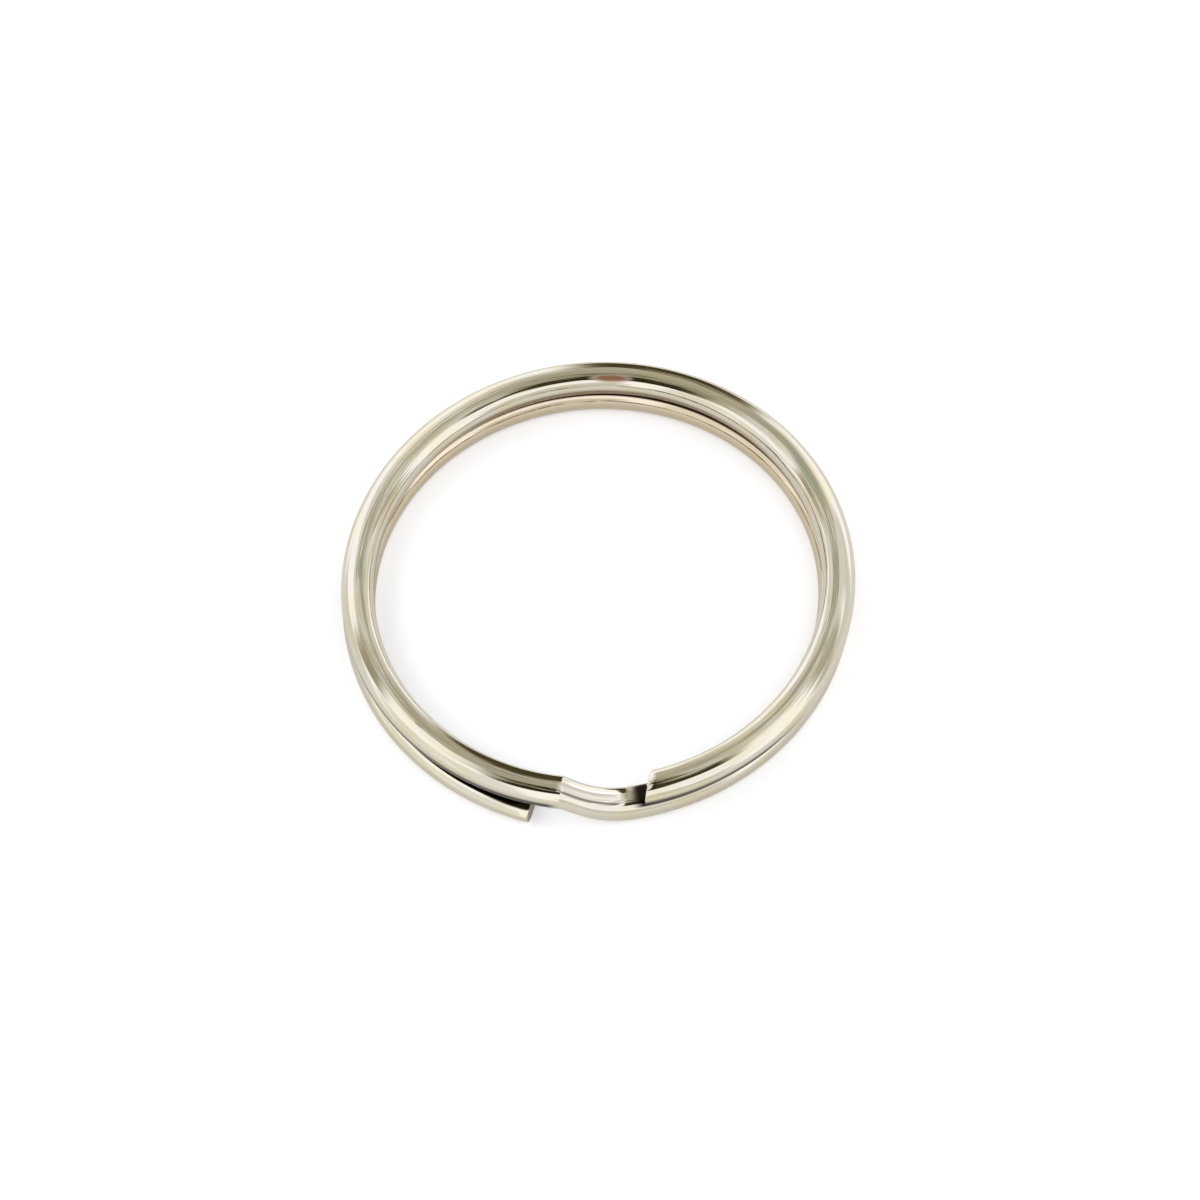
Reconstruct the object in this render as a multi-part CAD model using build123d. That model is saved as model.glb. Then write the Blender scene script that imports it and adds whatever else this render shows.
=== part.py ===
from build123d import *

import math
import os

# Split ring: one length of hard steel wire, rolled to a flat-topped section and coiled into two turns that
# lie one on the other. A single pressed step, the crossover, takes the wire from the upper turn down to the
# lower one. Both ends are sheared. The lower end springs out a little, which leaves the slit where a
# fingernail or the edge of a key gets in.
#
# Millimetres, +Z up. The ring lies flat: the lower turn's flat is at Z = 0 and the origin is on that plane
# in the middle of the ring. The crossover is centred on -Y. Angles run anticlockwise from -Y, seen from
# above, and the wire is followed that way: upper end, upper turn, crossover, lower turn, lower end.

# The wire: 1.5 mm round wire rolled to two flats, which leaves its sides barrel-shaped
wire_width = 1.62           # over the sides
wire_height = 1.30          # over the flats
flat_width = 0.88           # of each flat, across the wire

# The two turns
outside_diameter = 25.0     # across one turn
coil_gap = 0.04             # between their flats
coil_offset = 0.13          # how far the upper turn lies to the right of the lower one

# The crossover: it drops soon after it leaves the upper turn and lands slowly
crossover_length = 3.25     # along the turn
departure_bend = 0.33       # level lead of the bend at its head
landing_bend = 1.75         # level lead of the bend at its foot

# The two ends
upper_end_setback = 0.92    # from the crossover's foot to the upper end, along the turn
upper_end_skew = 22.0       # degrees that the upper cut is off square
lower_end_setback = 1.62    # from the crossover's head back to the lower end
sprung_length = 14.5        # of the stretch at the lower end that springs out
sprung_radius_gain = 0.5    # by which its radius is larger than the turn's
end_bevel = 0.07            # on the rims of both cuts, left by tumbling

# What follows from them
turn_radius = (outside_diameter - wire_width) / 2
pitch = wire_height + coil_gap
upper_centre = Vector(coil_offset / 2, 0, wire_height / 2 + pitch)
lower_centre = Vector(-coil_offset / 2, 0, wire_height / 2)


def angle_of(length, radius=turn_radius):
    """The degrees that a length of wire takes up on a turn."""
    return math.degrees(length / radius)


crossover_foot = angle_of(crossover_length / 2)
crossover_head = -crossover_foot
upper_end = crossover_foot + angle_of(upper_end_setback)
lower_end = crossover_head - angle_of(lower_end_setback)
sprung_radius = turn_radius + sprung_radius_gain
sprung_start = lower_end - angle_of(sprung_length, sprung_radius)


def outward(angle):
    """The level direction from a turn's middle to the wire."""
    return Vector(math.sin(math.radians(angle)), -math.cos(math.radians(angle)), 0)


def heading(angle):
    """The level direction in which the wire runs there."""
    return outward(angle + 90)


def rolled_profile():
    """The wire's section: two flats joined by one arc on each side."""
    corner = (flat_width / 2, wire_height / 2)
    flat = Line((-corner[0], corner[1]), corner)
    side = ThreePointArc(corner, (wire_width / 2, 0), (corner[0], -corner[1]))
    return make_face(flat + side + mirror(flat, Plane.XZ) + mirror(side, Plane.YZ))


def wire_section(centre, radius, angle):
    """That section on a turn, upright and square to it."""
    place = Plane(centre + outward(angle) * radius, x_dir=outward(angle), z_dir=heading(angle))
    return place * rolled_profile()


def arc_of_wire(centre, radius, start, end):
    """A level stretch of wire about an upright axis."""
    return revolve(wire_section(centre, radius, start), Axis(centre, (0, 0, 1)), end - start)


def crossover():
    """The pressed step between the turns. Its section stays upright, as the press leaves it."""
    head = upper_centre + outward(crossover_head) * turn_radius
    foot = lower_centre + outward(crossover_foot) * turn_radius
    path = Bezier(
        head,
        head + heading(crossover_head) * departure_bend,
        foot - heading(crossover_foot) * landing_bend,
        foot,
    )
    upright_guide = Pos(0, 0, pitch) * path
    return sweep(wire_section(upper_centre, turn_radius, crossover_head), path, binormal=upright_guide)


def bevel_cut(stretch, middle):
    """Breaks the rim of the sheared face that has this point at its middle."""
    cut = stretch.faces().sort_by_distance(middle)[0]
    return chamfer(cut.edges(), end_bevel)


def upper_free_end(stub_angle):
    """A short stretch either side of the upper end, cut across at its skew."""
    middle = upper_centre + outward(upper_end) * turn_radius
    stub = arc_of_wire(upper_centre, turn_radius, upper_end - stub_angle, upper_end + stub_angle)
    kept_side = heading(upper_end - upper_end_skew)
    return bevel_cut(split(stub, bisect_by=Plane(middle, z_dir=kept_side), keep=Keep.TOP), middle)


def lower_free_end():
    """The last stretch of the lower turn, on a wider arc that leaves the turn at a tangent."""
    centre = lower_centre - outward(sprung_start) * sprung_radius_gain
    middle = centre + outward(lower_end) * sprung_radius
    return bevel_cut(arc_of_wire(centre, sprung_radius, sprung_start, lower_end), middle)


stub_angle = angle_of(wire_width)
split_ring = (
    upper_free_end(stub_angle)
    + arc_of_wire(upper_centre, turn_radius, upper_end + stub_angle, 360 + crossover_head)
    + crossover()
    + arc_of_wire(lower_centre, turn_radius, crossover_foot, 360 + sprung_start)
    + lower_free_end()
)

os.makedirs("parts", exist_ok=True)
export_step(split_ring, "parts/split_ring.step")
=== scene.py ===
"""Looks of the split ring: nickel-plated steel wire, rolled to two flats and coiled into two turns.

Metres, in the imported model's frame: +Z up, the lower flat at Z = 0, the crossover centred on -Y.
Angles run anticlockwise from -Y, seen from above, and the wire is followed that way from its upper end.
"""

import math

import bmesh
import bpy
from mathutils import Matrix, Vector
from mathutils.geometry import interpolate_bezier


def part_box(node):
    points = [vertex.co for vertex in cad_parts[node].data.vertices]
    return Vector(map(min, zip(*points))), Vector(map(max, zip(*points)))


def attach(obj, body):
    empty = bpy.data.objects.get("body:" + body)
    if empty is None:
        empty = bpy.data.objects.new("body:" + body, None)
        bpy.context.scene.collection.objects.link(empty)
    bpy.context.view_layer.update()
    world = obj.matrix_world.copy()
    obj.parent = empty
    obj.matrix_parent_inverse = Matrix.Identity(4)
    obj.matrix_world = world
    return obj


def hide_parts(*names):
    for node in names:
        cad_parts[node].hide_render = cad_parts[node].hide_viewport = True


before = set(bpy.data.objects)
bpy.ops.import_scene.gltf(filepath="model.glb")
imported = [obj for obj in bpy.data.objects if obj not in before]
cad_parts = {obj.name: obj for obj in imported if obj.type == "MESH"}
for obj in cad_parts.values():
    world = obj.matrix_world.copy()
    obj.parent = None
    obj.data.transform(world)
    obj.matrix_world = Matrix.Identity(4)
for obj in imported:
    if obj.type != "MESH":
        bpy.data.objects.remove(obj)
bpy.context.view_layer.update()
ring_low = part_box("split_ring")[0]

mm = 0.001

# The wire and its two turns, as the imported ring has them
wire_width = 1.614 * mm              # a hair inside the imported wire
wire_height = 1.298 * mm
flat_width = 0.88 * mm
coil_gap = 0.04 * mm
coil_offset = 0.13 * mm              # by which the upper turn lies to one side of the lower one
turn_radius = 11.69 * mm
lower_ease = 0.07 * mm               # by which the lower turn sits inside the upper one
crossover_length = 3.25 * mm
departure_bend = 0.33 * mm           # how far the crossover still runs along the turn that it leaves
landing_bend = 1.75 * mm             # and along the turn on which it lands
upper_end_setback = 0.90 * mm
upper_end_skew = math.radians(22.0)
lower_end_setback = 1.80 * mm
sprung_length = 14.5 * mm
sprung_radius_gain = 0.56 * mm

# What rolling, shearing, prising and tumbling leave on it
outer_flat_reach = 0.37 * mm         # coiling on edge squeezes the flats inwards
inner_flat_reach = 0.47 * mm
edge_radius = 0.18 * mm              # of the soft corner between a flat and a side
crown_angle = math.radians(7)        # by which each flat's edges fall away
skewed_length = 1.5 * wire_width     # of wire over which the upper end's skew dies away
cut_bevel = 0.07 * mm                # on the rims of both cuts
cut_insets = (0.04 * mm, 0.12 * mm)  # of the narrow bands inside those rims
upper_end_gap = 0.38 * mm            # by which the gap beside each end stands open
lower_end_gap = 0.20 * mm
upper_gap_length = 9.0 * mm          # how far from each end that gap has closed
lower_gap_length = 13.0 * mm
gap_closing = 0.7                    # below 1, it stays open for longer and then closes faster

# Where the top flat leans: (its middle and its half angle round the upper turn; how far outwards), in degrees
flat_leans = (
    (285, 42, 2.6),
    (124, 24, -2.2),
    (343, 26, -2.5),
)

# How finely the wire is made
crown_steps = 4
edge_steps = 8
side_steps = 16
step_angle = math.radians(2.0)
crossover_steps = 40
weld_distance = 0.0001 * mm
fewest_cut_corners = 20              # the face that closes a cut has more corners than this

# The tent of light: white cloth that meets at a crown, at this height behind the ring
tent_turn = math.radians(5.05)
tent_crown = math.radians(60)
cloth_level = 1.62
crown_level = 0.57
crown_reach = 3.4                    # in degrees, as for all that follow
crown_softness = 1.2
halo_level = 1.05                    # between the crown and the cloth
halo_edge = (8, 12)
cloth_warmth = (0.94, 1.0, 1.25)     # powers of red, green and blue: dim cloth is warm and bright cloth cool

# Between its panels hang grey and black cards, each given as (the side it hangs on, in degrees from the
# front and positive to the right; half its width; where it begins and ends, in degrees from the crown; its
# level)
side_softness = 5.0
top_softness = 2
end_softness = 9
cards = (
    (162, 38, 1, 8, 0.56),           # the soft edge of the crown, behind
    (-9, 23, 4, 50, 0.03),           # the gap overhead
    (16, 13, 8, 26, 0.06),
    (161, 19, 8, 46, 0.08),          # the slot behind
    (168, 12, 16, 92, 0.07),
    (-76, 9, 7, 40, 0.48),           # the left seam
    (-104, 16, 36, 100, 1.05),
    (65, 10, 7, 50, 0.62),           # the right seam
    (78, 8, 50, 90, 0.75),
    (94, 12, 10, 120, 1.00),
    (20, 24, 55, 90, 1.48),          # the front
    (-44, 13, 62, 112, 1.22),
    (-70, 12, 62, 100, 1.20),
    (12, 30, 98, 170, 0.95),
)

floor_reach = 1.5
floor_clearance = 0.01 * mm
floor_lift = 0.20                    # by which the floor looks brighter than it lights the ring

# What follows from those
pitch = wire_height + coil_gap
rest_level = ring_low.z
upper_centre = Vector((coil_offset / 2, 0, rest_level + wire_height / 2 + pitch))
lower_centre = Vector((-coil_offset / 2, 0, rest_level + wire_height / 2))
full_turn = 2 * math.pi
crossover_foot = crossover_length / 2 / turn_radius
crossover_head = -crossover_foot
upper_end = crossover_foot + upper_end_setback / turn_radius
lower_end = crossover_head - lower_end_setback / turn_radius
lower_radius = turn_radius - lower_ease
sprung_radius = lower_radius + sprung_radius_gain
sprung_start = lower_end - sprung_length / sprung_radius

# Lengths along the straightened wire. The crossover's slope makes it a little longer than it is in plan
slope_excess = 0.3 * mm
upper_turn_to = (full_turn + crossover_head - upper_end) * turn_radius
lower_turn_from = upper_turn_to + crossover_length + slope_excess


def on_upper_turn(degrees, across, up):
    """A place on the upper turn, as (along the straightened wire, across, up)."""
    return ((math.radians(degrees) - upper_end) * turn_radius, across * mm, up * mm)


# Where the plating is worn grey, and where it has browned: (place, size)
worn_patches = (
    (on_upper_turn(117, -0.08, 0.65), (2.4 * mm, 0.24 * mm, 0.3 * mm)),
    (on_upper_turn(267, -0.10, 0.65), (0.9 * mm, 0.20 * mm, 0.3 * mm)),
    (on_upper_turn(314, 0.05, 0.65), (0.35 * mm, 0.12 * mm, 0.3 * mm)),
)
rusty_patches = (
    (on_upper_turn(177, -0.42, 0.58), (1.4 * mm, 0.26 * mm, 0.3 * mm)),
    (on_upper_turn(8, 0.55, -0.40), (0.5 * mm, 0.30 * mm, 0.3 * mm)),
)


def outward(angle):
    """The level direction from a turn's middle to the wire."""
    return Vector((math.sin(angle), -math.cos(angle), 0))


def heading(angle):
    """The level direction in which the wire runs there."""
    return outward(angle + math.pi / 2)


# ---------------------------------------------------------------- the wire


def half_section(bm, flat_reach):
    """The outer half of the section's outline: crowned flats, two soft edges and a barrel-shaped side."""
    half_height = wire_height / 2
    sag = wire_width / 2 - flat_reach
    side_radius = (half_height**2 + sag**2) / (2 * sag)
    side_x = wire_width / 2 - side_radius

    # The soft edge's arc touches the crown's arc and the side's from inside, so how far its centre lies from
    # the crown's centre comes from a quadratic equation
    drop = 1 - math.cos(crown_angle)
    edge_top = half_height - edge_radius
    middle_term = math.sin(crown_angle) * side_x + drop * edge_top
    last_term = (side_radius - edge_radius) ** 2 - side_x**2 - edge_top**2
    reach = (middle_term + math.sqrt(middle_term**2 + 2 * drop * last_term)) / (2 * drop)
    crown_z = half_height - edge_radius - reach
    edge_x = math.sin(crown_angle) * reach
    edge_z = math.cos(crown_angle) * reach + crown_z
    side_angle = math.atan2(edge_z, edge_x - side_x)
    edge_angle = math.pi / 2 - side_angle - crown_angle

    end = bm.verts.new((0, 0, -half_height))
    for x, z, angle, steps in (
        (0, -crown_z, crown_angle, crown_steps),
        (edge_x, -edge_z, edge_angle, edge_steps),
        (side_x, 0, 2 * side_angle, side_steps),
        (edge_x, edge_z, edge_angle, edge_steps),
        (0, crown_z, crown_angle, crown_steps),
    ):
        made = bmesh.ops.spin(bm, geom=[end], cent=(x, 0, z), axis=(0, -1, 0), angle=angle, steps=steps)
        end = made["geom_last"][0]


def rolled_section(bm):
    """The wire's section, an outline with its width along X, outwards, and its height along Z."""
    half_section(bm, inner_flat_reach)
    bmesh.ops.scale(bm, verts=bm.verts[:], vec=(-1, 1, 1))
    half_section(bm, outer_flat_reach)
    bmesh.ops.remove_doubles(bm, verts=bm.verts[:], dist=weld_distance)


def turn_level(bm, verts, centre, angle):
    """Turns points about an upright axis."""
    bmesh.ops.rotate(bm, verts=verts, cent=centre, matrix=Matrix.Rotation(angle, 3, "Z"))


def lay_section(bm, centre, radius, angle):
    """Makes the section at that place on a turn, with its straight-wire place noted, and returns its rim."""
    rolled_section(bm)
    place = bm.verts.layers.float_vector["straight_wire"]
    for v in bm.verts:
        v[place] = (0, v.co.x, v.co.z)
    turn_level(bm, bm.verts[:], (0, 0, 0), angle - math.pi / 2)
    bmesh.ops.translate(bm, verts=bm.verts[:], vec=centre + outward(angle) * radius)
    return bm.edges[:]


def note_along(bm, first, rings, length_of):
    """Writes how far along the straightened wire each new ring of points is."""
    place = bm.verts.layers.float_vector["straight_wire"]
    bm.verts.ensure_lookup_table()
    new = bm.verts[first:]
    ring_size = len(new) // rings
    for i, v in enumerate(new):
        v[place] = (length_of(i // ring_size + 1), v[place][1], v[place][2])


def carry_round(bm, rim, length, centre, radius, start, end):
    """Carries the open rim round an arc about an upright axis. Returns the new rim and the length reached."""
    first = len(bm.verts)
    steps = max(2, round(abs(end - start) / step_angle))
    made = bmesh.ops.spin(
        bm, geom=rim, cent=centre, axis=(0, 0, 1), angle=end - start, steps=steps, use_duplicate=False
    )
    reach = (end - start) * radius
    note_along(bm, first, steps, lambda ring: length + reach * ring / steps)
    return [e for e in made["geom_last"] if isinstance(e, bmesh.types.BMEdge)], length + reach


def carry_down(bm, rim, length):
    """Carries the rim down the crossover, upright. Returns the new rim and the length reached."""
    head = upper_centre + outward(crossover_head) * turn_radius
    foot = lower_centre + outward(crossover_foot) * lower_radius
    head_handle = head + heading(crossover_head) * departure_bend
    foot_handle = foot - heading(crossover_foot) * landing_bend
    path = interpolate_bezier(head, head_handle, foot_handle, foot, crossover_steps + 1)
    turns = [crossover_head]
    for i in range(1, crossover_steps):
        run = path[i + 1] - path[i - 1]
        turns.append(math.atan2(run.y, run.x))
    turns.append(crossover_foot)
    for i in range(crossover_steps):
        first = len(bm.verts)
        made = bmesh.ops.extrude_edge_only(bm, edges=rim)["geom"]
        verts = [g for g in made if isinstance(g, bmesh.types.BMVert)]
        edges = [g for g in made if isinstance(g, bmesh.types.BMEdge)]
        rim = [e for e in edges if e.verts[0] in verts and e.verts[1] in verts]
        step = path[i + 1] - path[i]
        turn_level(bm, verts, path[i], turns[i + 1] - turns[i])
        bmesh.ops.translate(bm, verts=verts, vec=step)
        length += step.length
        note_along(bm, first, 1, lambda ring: length)
    return rim, length


def lean_cut(bm, reach):
    """Leans the upper end to its skew, and lets the lean die away along that length of wire."""
    place = bm.verts.layers.float_vector["straight_wire"]
    for v in bm.verts:
        fade = 1 - v[place][0] / reach
        lean = -math.tan(upper_end_skew) * v[place][1] * fade**2 / turn_radius
        turn_level(bm, [v], upper_centre, lean)


def open_end_gap(bm, end, end_gap, length, face):
    """Opens the gap beside an end by thinning the wire's face there: 1 is its top and -1 its underside."""
    place = bm.verts.layers.float_vector["straight_wire"]
    for v in bm.verts:
        along, across, up = v[place]
        share = max(0, 1 - abs(along - end) / length) ** gap_closing
        v.co.z -= face * end_gap * share * max(0, face * up / (wire_height / 2))


def lean_upper_flat(bm):
    """Leans the top flat outwards or inwards where coiling has twisted the wire a little."""
    crown_radius = flat_width / 2 / math.sin(crown_angle)
    place = bm.verts.layers.float_vector["straight_wire"]
    for v in bm.verts:
        along, across, up = v[place]
        turned = math.degrees(along / turn_radius + upper_end)
        lean = 0
        for middle, half_angle, tilt in flat_leans:
            share = max(0, 1 - abs(turned - middle) / half_angle)
            lean += math.radians(tilt) * share**2 * (3 - 2 * share)
        # The crown's highest line moves across as it leans, and must not rise
        lowered = across * math.tan(lean) + crown_radius * lean**2 / 2
        v.co.z -= lowered * max(0, up / (wire_height / 2))


def shear_end(bm, rim):
    """Closes the rim with a sheared face whose edge is broken by tumbling."""
    sheared = bm.verts.layers.float["sheared"]
    bmesh.ops.contextual_create(bm, geom=rim)
    bmesh.ops.recalc_face_normals(bm, faces=bm.faces[:])
    bmesh.ops.bevel(
        bm, geom=rim, offset=cut_bevel, offset_type="OFFSET",
        segments=3, profile=0.5, affect="EDGES", material=-1,
    )
    cuts = [f for f in bm.faces if len(f.verts) > fewest_cut_corners]
    face = [f for f in cuts if not any(v[sheared] for v in f.verts)][0]
    for inset in cut_insets:
        for v in face.verts:
            v[sheared] = 1
        bmesh.ops.inset_individual(bm, faces=[face], thickness=inset)
    for v in face.verts:
        v[sheared] = 1


def wire_mesh():
    """The whole length of wire, from the upper end to the lower end, and how long it is."""
    bm = bmesh.new()
    bm.verts.layers.float_vector.new("straight_wire")
    bm.verts.layers.float.new("sheared")

    upper_turn = (upper_centre, turn_radius)
    skewed_to = upper_end + skewed_length / turn_radius
    upper_rim = lay_section(bm, *upper_turn, upper_end)
    rim, length = carry_round(bm, upper_rim, 0, *upper_turn, upper_end, skewed_to)
    lean_cut(bm, length)
    rim, length = carry_round(bm, rim, length, *upper_turn, skewed_to, full_turn + crossover_head)
    lean_upper_flat(bm)
    open_end_gap(bm, 0, upper_end_gap, upper_gap_length, -1)
    shear_end(bm, upper_rim)

    rim, length = carry_down(bm, rim, length)

    lower_turn = (lower_centre, lower_radius)
    sprung_turn = (lower_centre - outward(sprung_start) * sprung_radius_gain, sprung_radius)
    rim, length = carry_round(bm, rim, length, *lower_turn, crossover_foot, full_turn + sprung_start)
    rim, length = carry_round(bm, rim, length, *sprung_turn, sprung_start, lower_end)
    open_end_gap(bm, length, lower_end_gap, lower_gap_length, 1)
    shear_end(bm, rim)

    bmesh.ops.recalc_face_normals(bm, faces=bm.faces[:])
    for face in bm.faces:
        face.smooth = True
    mesh = bpy.data.meshes.new("split_ring_wire")
    bm.to_mesh(mesh)
    bm.free()
    return mesh, length


# ---------------------------------------------------------------- nodes


def new_material(name):
    """A new material, with its node tree and its surface node."""
    material = bpy.data.materials.new(name)
    material.use_nodes = True
    tree = material.node_tree
    return material, tree, tree.nodes["Principled BSDF"]


def feed(tree, socket, value):
    """Feeds a socket with a number, a colour or another node's output."""
    if isinstance(value, (int, float)):
        socket.default_value = value
    elif isinstance(value, tuple):
        socket.default_value = (*value, 1)
    else:
        tree.links.new(value, socket)


def maths(tree, operation, *values):
    """One step of arithmetic in a node tree."""
    node = tree.nodes.new("ShaderNodeMath")
    node.operation = operation
    for socket, value in zip(node.inputs, values):
        feed(tree, socket, value)
    return node.outputs[0]


def product(tree, *shares):
    """Several shares multiplied together."""
    result = shares[0]
    for share in shares[1:]:
        result = maths(tree, "MULTIPLY", result, share)
    return result


def soft_step(tree, value, start, end):
    """Rises softly from 0 to 1 as the value goes from start to end, which may be the smaller of the two."""
    node = tree.nodes.new("ShaderNodeMapRange")
    node.interpolation_type = "SMOOTHSTEP"
    feed(tree, node.inputs["Value"], value)
    node.inputs["From Min"].default_value = start
    node.inputs["From Max"].default_value = end
    return node.outputs[0]


def inside(tree, value, reach, softness):
    """Is 1 while the value is within the reach, and fades to 0 across its edge."""
    return soft_step(tree, value, reach + softness, reach - softness)


def near(tree, value, middle, reach, softness):
    """Is 1 while the value is within the reach of the middle, and fades to 0 across its edge."""
    away = maths(tree, "ABSOLUTE", maths(tree, "SUBTRACT", value, middle))
    return inside(tree, away, reach, softness)


def stretched_noise(tree, place, scale, detail):
    """Noise from the wire's straightened length, so that it follows every bend."""
    stretch = tree.nodes.new("ShaderNodeMapping")
    tree.links.new(place, stretch.inputs["Vector"])
    stretch.inputs["Scale"].default_value = scale
    noise = tree.nodes.new("ShaderNodeTexNoise")
    noise.inputs["Scale"].default_value = 1.0
    noise.inputs["Detail"].default_value = detail
    tree.links.new(stretch.outputs["Vector"], noise.inputs["Vector"])
    return noise.outputs[0]


def tint(tree, colour, share, other):
    """Carries a colour towards another one by a share."""
    mix = tree.nodes.new("ShaderNodeMix")
    mix.data_type = "RGBA"
    feed(tree, mix.inputs["Factor"], share)
    feed(tree, mix.inputs["A"], colour)
    feed(tree, mix.inputs["B"], other)
    return mix.outputs["Result"]


def patch(tree, place, centre, size):
    """Is 1 at a place on the wire, given as (along, across, up), and fades to 0 at the size away from it."""
    offset = tree.nodes.new("ShaderNodeMapping")
    offset.vector_type = "TEXTURE"
    tree.links.new(place, offset.inputs["Vector"])
    offset.inputs["Location"].default_value = centre
    offset.inputs["Scale"].default_value = size
    distance = tree.nodes.new("ShaderNodeVectorMath")
    distance.operation = "LENGTH"
    tree.links.new(offset.outputs["Vector"], distance.inputs[0])
    return inside(tree, distance.outputs["Value"], 0.7, 0.3)


def any_patch(tree, place, patches):
    """The strongest of several patches at each place."""
    strongest = 0.0
    for centre, size in patches:
        strongest = maths(tree, "MAXIMUM", strongest, patch(tree, place, centre, size))
    return strongest


def rough_bump(tree, height, distance, below=None):
    """The surface's direction with bumps of that height on it, over the bumps below where there are some."""
    bump = tree.nodes.new("ShaderNodeBump")
    bump.inputs["Distance"].default_value = distance
    tree.links.new(height, bump.inputs["Height"])
    if below is not None:
        tree.links.new(below, bump.inputs["Normal"])
    return bump.outputs["Normal"]


def toward(tree, direction, axis):
    """How far a direction points along an axis."""
    dot = tree.nodes.new("ShaderNodeVectorMath")
    dot.operation = "DOT_PRODUCT"
    tree.links.new(direction, dot.inputs[0])
    dot.inputs[1].default_value = axis
    return dot.outputs["Value"]


# ---------------------------------------------------------------- finishes


def shade_kept_share(tree):
    """How much of the painted crevice shade is kept: most of it is taken away on the left and on the right.
    """
    ring_place = tree.nodes.new("ShaderNodeSeparateXYZ")
    tree.links.new(tree.nodes.new("ShaderNodeTexCoord").outputs["Object"], ring_place.inputs[0])
    aside = soft_step(tree, maths(tree, "ABSOLUTE", ring_place.outputs["X"]), 5 * mm, 10 * mm)
    behind_front = soft_step(tree, ring_place.outputs["Y"], -7 * mm, -4 * mm)
    return maths(tree, "MULTIPLY_ADD", product(tree, aside, behind_front), -0.8, 1.0)


def facing_flats(tree, turns, across, up, along, wire_length, shade_kept):
    """Where the turns' flats face each other: (where they are painted near black as painted shade, the
    brownish painted shade round that).
    """
    on_upper, on_lower = turns
    before_tail_tip = soft_step(tree, along, wire_length - 0.4 * mm, wire_length - 1.1 * mm)
    facing_up = product(tree, on_lower, maths(tree, "GREATER_THAN", up, 0.0), before_tail_tip)
    facing_down = product(tree, on_upper, maths(tree, "LESS_THAN", up, 0.0))
    facing = product(tree, maths(tree, "ADD", facing_up, facing_down), shade_kept)
    middle = -0.07 * mm
    # Painted shade: the facing flats are painted near black, with a brownish margin round them, where the gap
    # between the turns lies in shadow.
    painted_black_shade = product(tree, facing, near(tree, across, middle, 0.42 * mm, 0.05 * mm))
    painted_brown_shade = product(tree, facing, near(tree, across, middle, 0.46 * mm, 0.04 * mm))
    return painted_black_shade, painted_brown_shade


def crevice_shade(tree, turns, across, up, along, shade_kept):
    """Where painted shade darkens the wire's sides: (along the inside, on the outside beside both ends)."""
    on_upper, on_lower = turns
    # Painted shade: the lower part of the upper turn's inside is painted brownish, as if in shadow.
    on_inside = soft_step(tree, across, 0.0, -0.1 * mm)
    inner_height = soft_step(tree, up, 0.20 * mm, -0.05 * mm)
    inner_painted_shade = product(tree, on_inside, inner_height, on_upper, shade_kept)

    # Painted shade: near both ends, the upper turn's side below its middle and the lower turn's top edge
    # beside the crossover are painted near black, as the dark crevice between the turns.
    near_first = soft_step(tree, along, 9 * mm, 5 * mm)
    near_last = soft_step(tree, along, upper_turn_to - 24 * mm, upper_turn_to - 16 * mm)
    near_ends = maths(tree, "MAXIMUM", near_first, near_last)
    above = product(tree, near_ends, soft_step(tree, up, 0.26 * mm, 0.0), on_upper)
    below_first = soft_step(tree, along, lower_turn_from + 8 * mm, lower_turn_from + 4.5 * mm)
    below = product(tree, below_first, on_lower, soft_step(tree, up, 0.46 * mm, 0.54 * mm))
    return inner_painted_shade, maths(tree, "MAXIMUM", above, below)


def painted_crossover_top(tree, across, up, along):
    """Painted light on the crossover's top, where pressing left it flat and creased: (a painted highlight,
    painted shade along a faint one of its creases, and along a deep one).
    """
    past_upper = soft_step(tree, along, upper_turn_to - 0.15 * mm, upper_turn_to + 0.15 * mm)
    before_lower = soft_step(tree, along, lower_turn_from - 0.2 * mm, lower_turn_from - 0.9 * mm)
    on_top = maths(tree, "GREATER_THAN", up, 0.4 * mm)
    within_outside = soft_step(tree, across, 0.44 * mm, 0.36 * mm)
    within_inside = soft_step(tree, across, -0.36 * mm, -0.24 * mm)
    # Painted highlight: the crossover's top is painted lighter where it catches bright light, and the creases
    # on it are painted dark as painted shade.
    painted_top_highlight = product(tree, past_upper, before_lower, on_top, within_outside, within_inside)
    faint_crease_shade = product(tree, painted_top_highlight, near(tree, across, -0.12 * mm, 0.07 * mm, 0.07 * mm))
    deep_crease_shade = product(tree, painted_top_highlight, near(tree, across, 0.31 * mm, 0.06 * mm, 0.05 * mm))
    return painted_top_highlight, faint_crease_shade, deep_crease_shade


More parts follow.
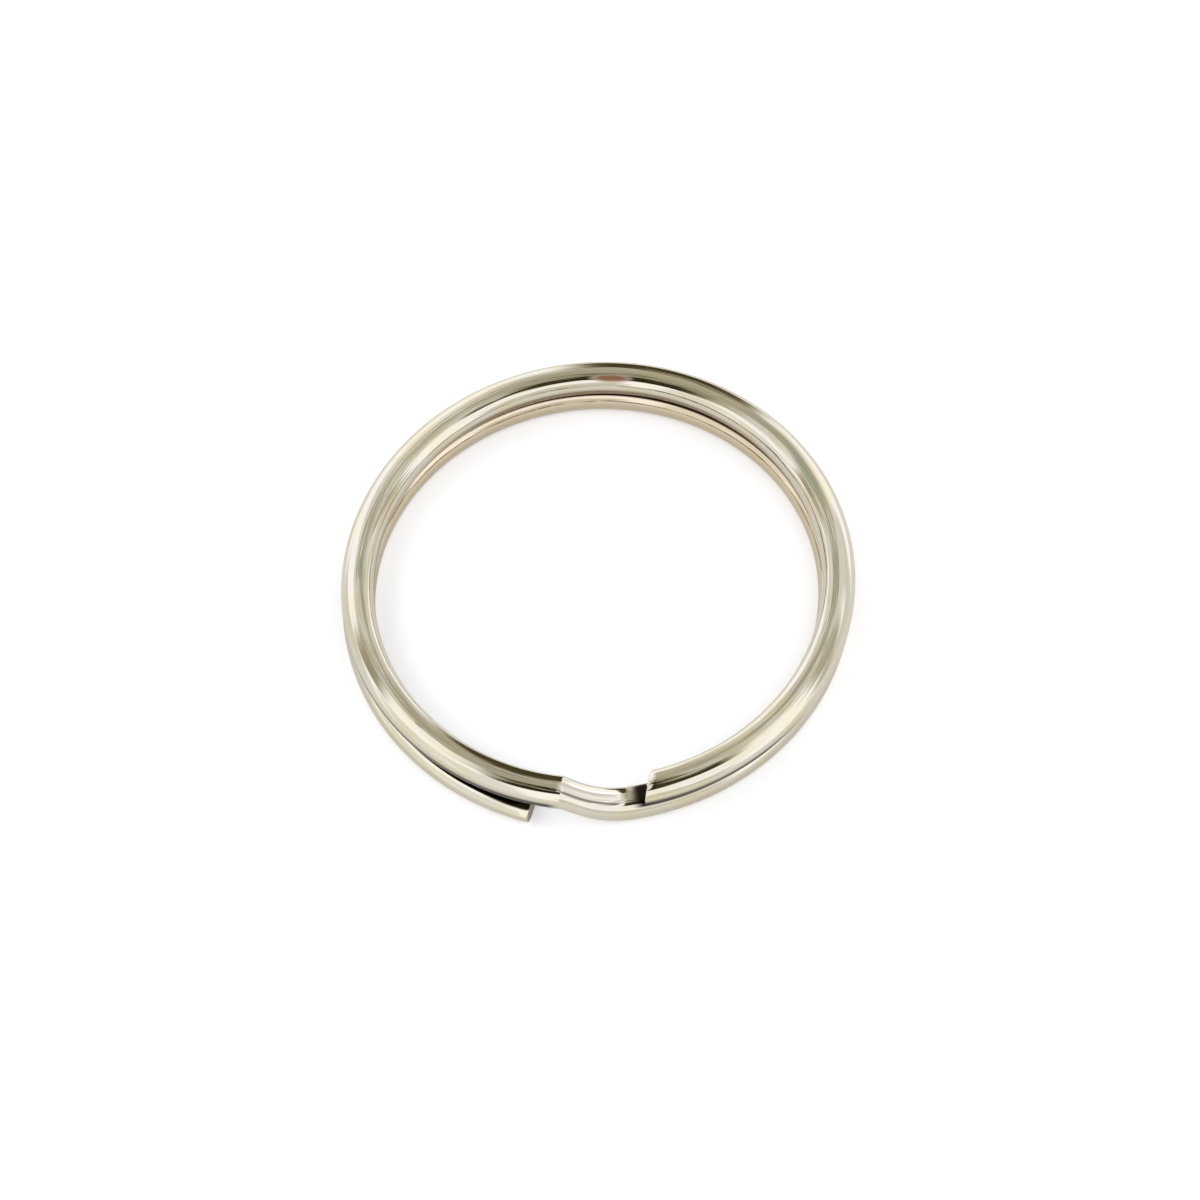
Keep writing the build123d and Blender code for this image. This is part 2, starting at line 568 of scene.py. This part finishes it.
def bright_nickel(wire_length):
    """Nickel plate over drawn steel wire, with bare steel where it was sheared."""
    material, tree, surface = new_material("bright_nickel")
    wire = tree.nodes.new("ShaderNodeAttribute")
    wire.attribute_name = "straight_wire"
    place = wire.outputs["Vector"]
    split = tree.nodes.new("ShaderNodeSeparateXYZ")
    tree.links.new(place, split.inputs[0])
    along, across, up = split.outputs
    cut = tree.nodes.new("ShaderNodeAttribute")
    cut.attribute_name = "sheared"
    sheared = cut.outputs["Fac"]

    # Each noise says how many marks there are to a metre along, across and up the wire
    rolling = stretched_noise(tree, place, (90, 3200, 3200), 1.0)
    drawing = stretched_noise(tree, place, (260, 9500, 9500), 2.0)
    cloud = stretched_noise(tree, place, (420, 900, 900), 3.0)
    grain = stretched_noise(tree, place, (9000, 9000, 9000), 2.0)
    normal = rough_bump(tree, rolling, 0.012 * mm)
    normal = rough_bump(tree, drawing, 0.005 * mm, normal)
    normal = rough_bump(tree, product(tree, grain, sheared), 0.03 * mm, normal)
    tree.links.new(normal, surface.inputs["Normal"])

    on_upper = soft_step(tree, along, upper_turn_to, upper_turn_to - 0.6 * mm)
    on_lower = soft_step(tree, along, lower_turn_from, lower_turn_from + 0.6 * mm)
    turns = (on_upper, on_lower)
    shade_kept = shade_kept_share(tree)
    painted_black_shade, painted_brown_shade = facing_flats(tree, turns, across, up, along, wire_length, shade_kept)
    inner_painted_shade, outer_painted_shade = crevice_shade(tree, turns, across, up, along, shade_kept)
    painted_top_highlight, faint_crease_shade, deep_crease_shade = painted_crossover_top(tree, across, up, along)
    # Painted shade: the lower turn's inside is tinted warmer and darker, as the shadowed floor it faces would
    # show in it.
    warm_painted_shade = product(tree, on_lower, soft_step(tree, across, 0.2 * mm, -0.3 * mm))
    worn = product(tree, any_patch(tree, place, worn_patches), soft_step(tree, drawing, 0.30, 0.60))
    rusty = any_patch(tree, place, rusty_patches)

    # Each layer of colour over the plating, real marks and painted light alike: (where it is, how far it
    # hides what is below, its colour)
    colour = tint(tree, (0.60, 0.557, 0.45), soft_step(tree, cloud, 0.40, 0.66), (0.60, 0.542, 0.39))
    for where, strength, coat in (
        # painted shade: warmer and darker on the lower turn's inside
        (warm_painted_shade, 0.60, (0.60, 0.49, 0.33)),
        # painted shade: brownish round the flats that face each other
        (painted_brown_shade, 0.85, (0.14, 0.09, 0.045)),
        # painted shade: brownish low on the upper turn's inside
        (inner_painted_shade, 0.90, (0.20, 0.13, 0.06)),
        # painted shade: near black in the crevice beside both ends
        (outer_painted_shade, 1.00, (0.022, 0.016, 0.008)),
        # painted shade: near black on the flats that face across the gap between the turns
        (painted_black_shade, 0.97, (0.016, 0.012, 0.007)),
        # painted highlight: lighter on the crossover's top
        (painted_top_highlight, 1.00, (0.78, 0.72, 0.64)),
        # painted shade: darker along the creases on the crossover's top
        (faint_crease_shade, 0.50, (0.42, 0.35, 0.28)),
        (deep_crease_shade, 0.90, (0.16, 0.13, 0.09)),
        (worn, 0.80, (0.28, 0.31, 0.20)),
        (rusty, 0.95, (0.20, 0.088, 0.028)),
    ):
        colour = tint(tree, colour, product(tree, where, strength), coat)
    bare_steel = tint(tree, (0.46, 0.41, 0.34), soft_step(tree, grain, 0.35, 0.65), (0.24, 0.17, 0.11))
    colour = tint(tree, colour, sheared, bare_steel)
    tree.links.new(colour, surface.inputs["Base Color"])

    clean_roughness = 0.035
    clouded_gain = 0.05
    roughness = maths(tree, "MULTIPLY_ADD", soft_step(tree, cloud, 0.35, 0.75), clouded_gain, clean_roughness)
    for where, gain in ((worn, 0.25), (painted_black_shade, 0.20), (sheared, 0.30), (rusty, 0.45)):
        roughness = maths(tree, "MULTIPLY_ADD", where, gain, roughness)
    tree.links.new(roughness, surface.inputs["Roughness"])
    metal_lost_to_rust = 0.35
    metal = maths(tree, "MULTIPLY_ADD", rusty, -metal_lost_to_rust, 1.0)
    tree.links.new(metal, surface.inputs["Metallic"])
    return material


def pale_floor():
    """A matt white floor that looks a little brighter than it lights the ring."""
    material, tree, surface = new_material("pale_floor")
    surface.inputs["Base Color"].default_value = (0.92, 0.905, 0.86, 1)
    surface.inputs["Roughness"].default_value = 1.0
    surface.inputs["Specular IOR Level"].default_value = 0.0
    path = tree.nodes.new("ShaderNodeLightPath")
    glow = tree.nodes.new("ShaderNodeEmission")
    seen = maths(tree, "MULTIPLY", path.outputs["Is Camera Ray"], floor_lift)
    tree.links.new(seen, glow.inputs["Strength"])
    both = tree.nodes.new("ShaderNodeAddShader")
    tree.links.new(surface.outputs[0], both.inputs[0])
    tree.links.new(glow.outputs[0], both.inputs[1])
    tree.links.new(both.outputs[0], tree.nodes["Material Output"].inputs[0])
    return material


# ---------------------------------------------------------------- ring, floor, light, camera


def make_ring():
    """The whole wire as one piece, which rides on the ring's only body."""
    mesh, wire_length = wire_mesh()
    ring = bpy.data.objects.new("coiled_wire", mesh)
    bpy.context.scene.collection.objects.link(ring)
    ring.data.materials.append(bright_nickel(wire_length))
    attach(ring, "root")
    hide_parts("split_ring")


def make_floor():
    """The floor on which the ring lies, a hair below it."""
    bm = bmesh.new()
    bmesh.ops.create_grid(bm, x_segments=1, y_segments=1, size=floor_reach)
    bmesh.ops.translate(bm, verts=bm.verts[:], vec=(0, 0, rest_level - floor_clearance))
    mesh = bpy.data.meshes.new("floor")
    bm.to_mesh(mesh)
    bm.free()
    floor = bpy.data.objects.new("floor", mesh)
    bpy.context.scene.collection.objects.link(floor)
    mesh.materials.append(pale_floor())


def light_the_ring():
    """A white tent of soft panels round the ring, with a dark gap between them overhead."""
    world = bpy.data.worlds.new("light_tent")
    bpy.context.scene.world = world
    world.use_nodes = True
    tree = world.node_tree
    direction = tree.nodes.new("ShaderNodeTexCoord").outputs["Generated"]
    across = Vector((math.cos(tent_turn), math.sin(tent_turn), 0))
    level_back = Vector((-math.sin(tent_turn), math.cos(tent_turn), 0))
    crown = level_back * math.cos(tent_crown) + Vector((0, 0, math.sin(tent_crown)))
    to_side = toward(tree, direction, across)
    to_front = toward(tree, direction, across.cross(crown))
    to_crown = toward(tree, direction, crown)
    panel = maths(tree, "DEGREES", maths(tree, "ARCTAN2", to_side, to_front))
    fall = maths(tree, "DEGREES", maths(tree, "ARCCOSINE", to_crown))

    past_halo = soft_step(tree, fall, *halo_edge)
    in_crown = inside(tree, fall, crown_reach, crown_softness)
    level = maths(tree, "MULTIPLY_ADD", past_halo, cloth_level - halo_level, halo_level)
    level = maths(tree, "MULTIPLY_ADD", in_crown, crown_level - halo_level, level)
    for hung_at, half_width, begins, ends, card_level in cards:
        turn = maths(tree, "WRAP", maths(tree, "SUBTRACT", panel, hung_at), 180.0, -180.0)
        within_sides = inside(tree, maths(tree, "ABSOLUTE", turn), half_width, side_softness)
        above_end = inside(tree, fall, ends, end_softness)
        below_top = soft_step(tree, fall, begins - top_softness, begins + top_softness)
        share = product(tree, within_sides, above_end, below_top)
        level = maths(tree, "MULTIPLY_ADD", maths(tree, "SUBTRACT", card_level, level), share, level)

    colour = tree.nodes.new("ShaderNodeCombineColor")
    for socket, power in zip(colour.inputs, cloth_warmth):
        tree.links.new(maths(tree, "POWER", level, power), socket)
    back = tree.nodes["Background"]
    tree.links.new(colour.outputs[0], back.inputs["Color"])
    back.inputs["Strength"].default_value = 1.0


def place_camera():
    """Looks down on the ring at 60 degrees, from a little right of the crossover, rolled a little."""
    azimuth = tent_turn
    elevation = math.radians(59.97)
    roll = math.radians(5.27)
    distance = 244.5 * mm
    view_width = 58.6797066 * mm     # of what the frame takes in at the ring
    moved_right = 0.0025 * view_width
    moved_up = 0.001 * view_width

    camera = bpy.data.cameras.new("ring_camera")
    camera.sensor_width = 36.0
    camera.lens = camera.sensor_width * distance / view_width
    camera.clip_start = 0.01
    camera.clip_end = 10.0

    round_ring = Matrix.Rotation(azimuth, 4, "Z")
    down = Matrix.Rotation(math.pi / 2 - elevation, 4, "X")
    turn = round_ring @ down @ Matrix.Rotation(-roll, 4, "Z")
    right, up, back = turn.to_3x3().col
    aim = Vector((lower_centre.x, 0, rest_level))
    stand = aim + back * distance + right * moved_right + up * moved_up
    holder = bpy.data.objects.new("ring_camera", camera)
    bpy.context.scene.collection.objects.link(holder)
    holder.matrix_world = Matrix.Translation(stand) @ turn
    bpy.context.scene.camera = holder


make_ring()
make_floor()
light_the_ring()
place_camera()

bpy.context.scene.view_settings.view_transform = "Standard"
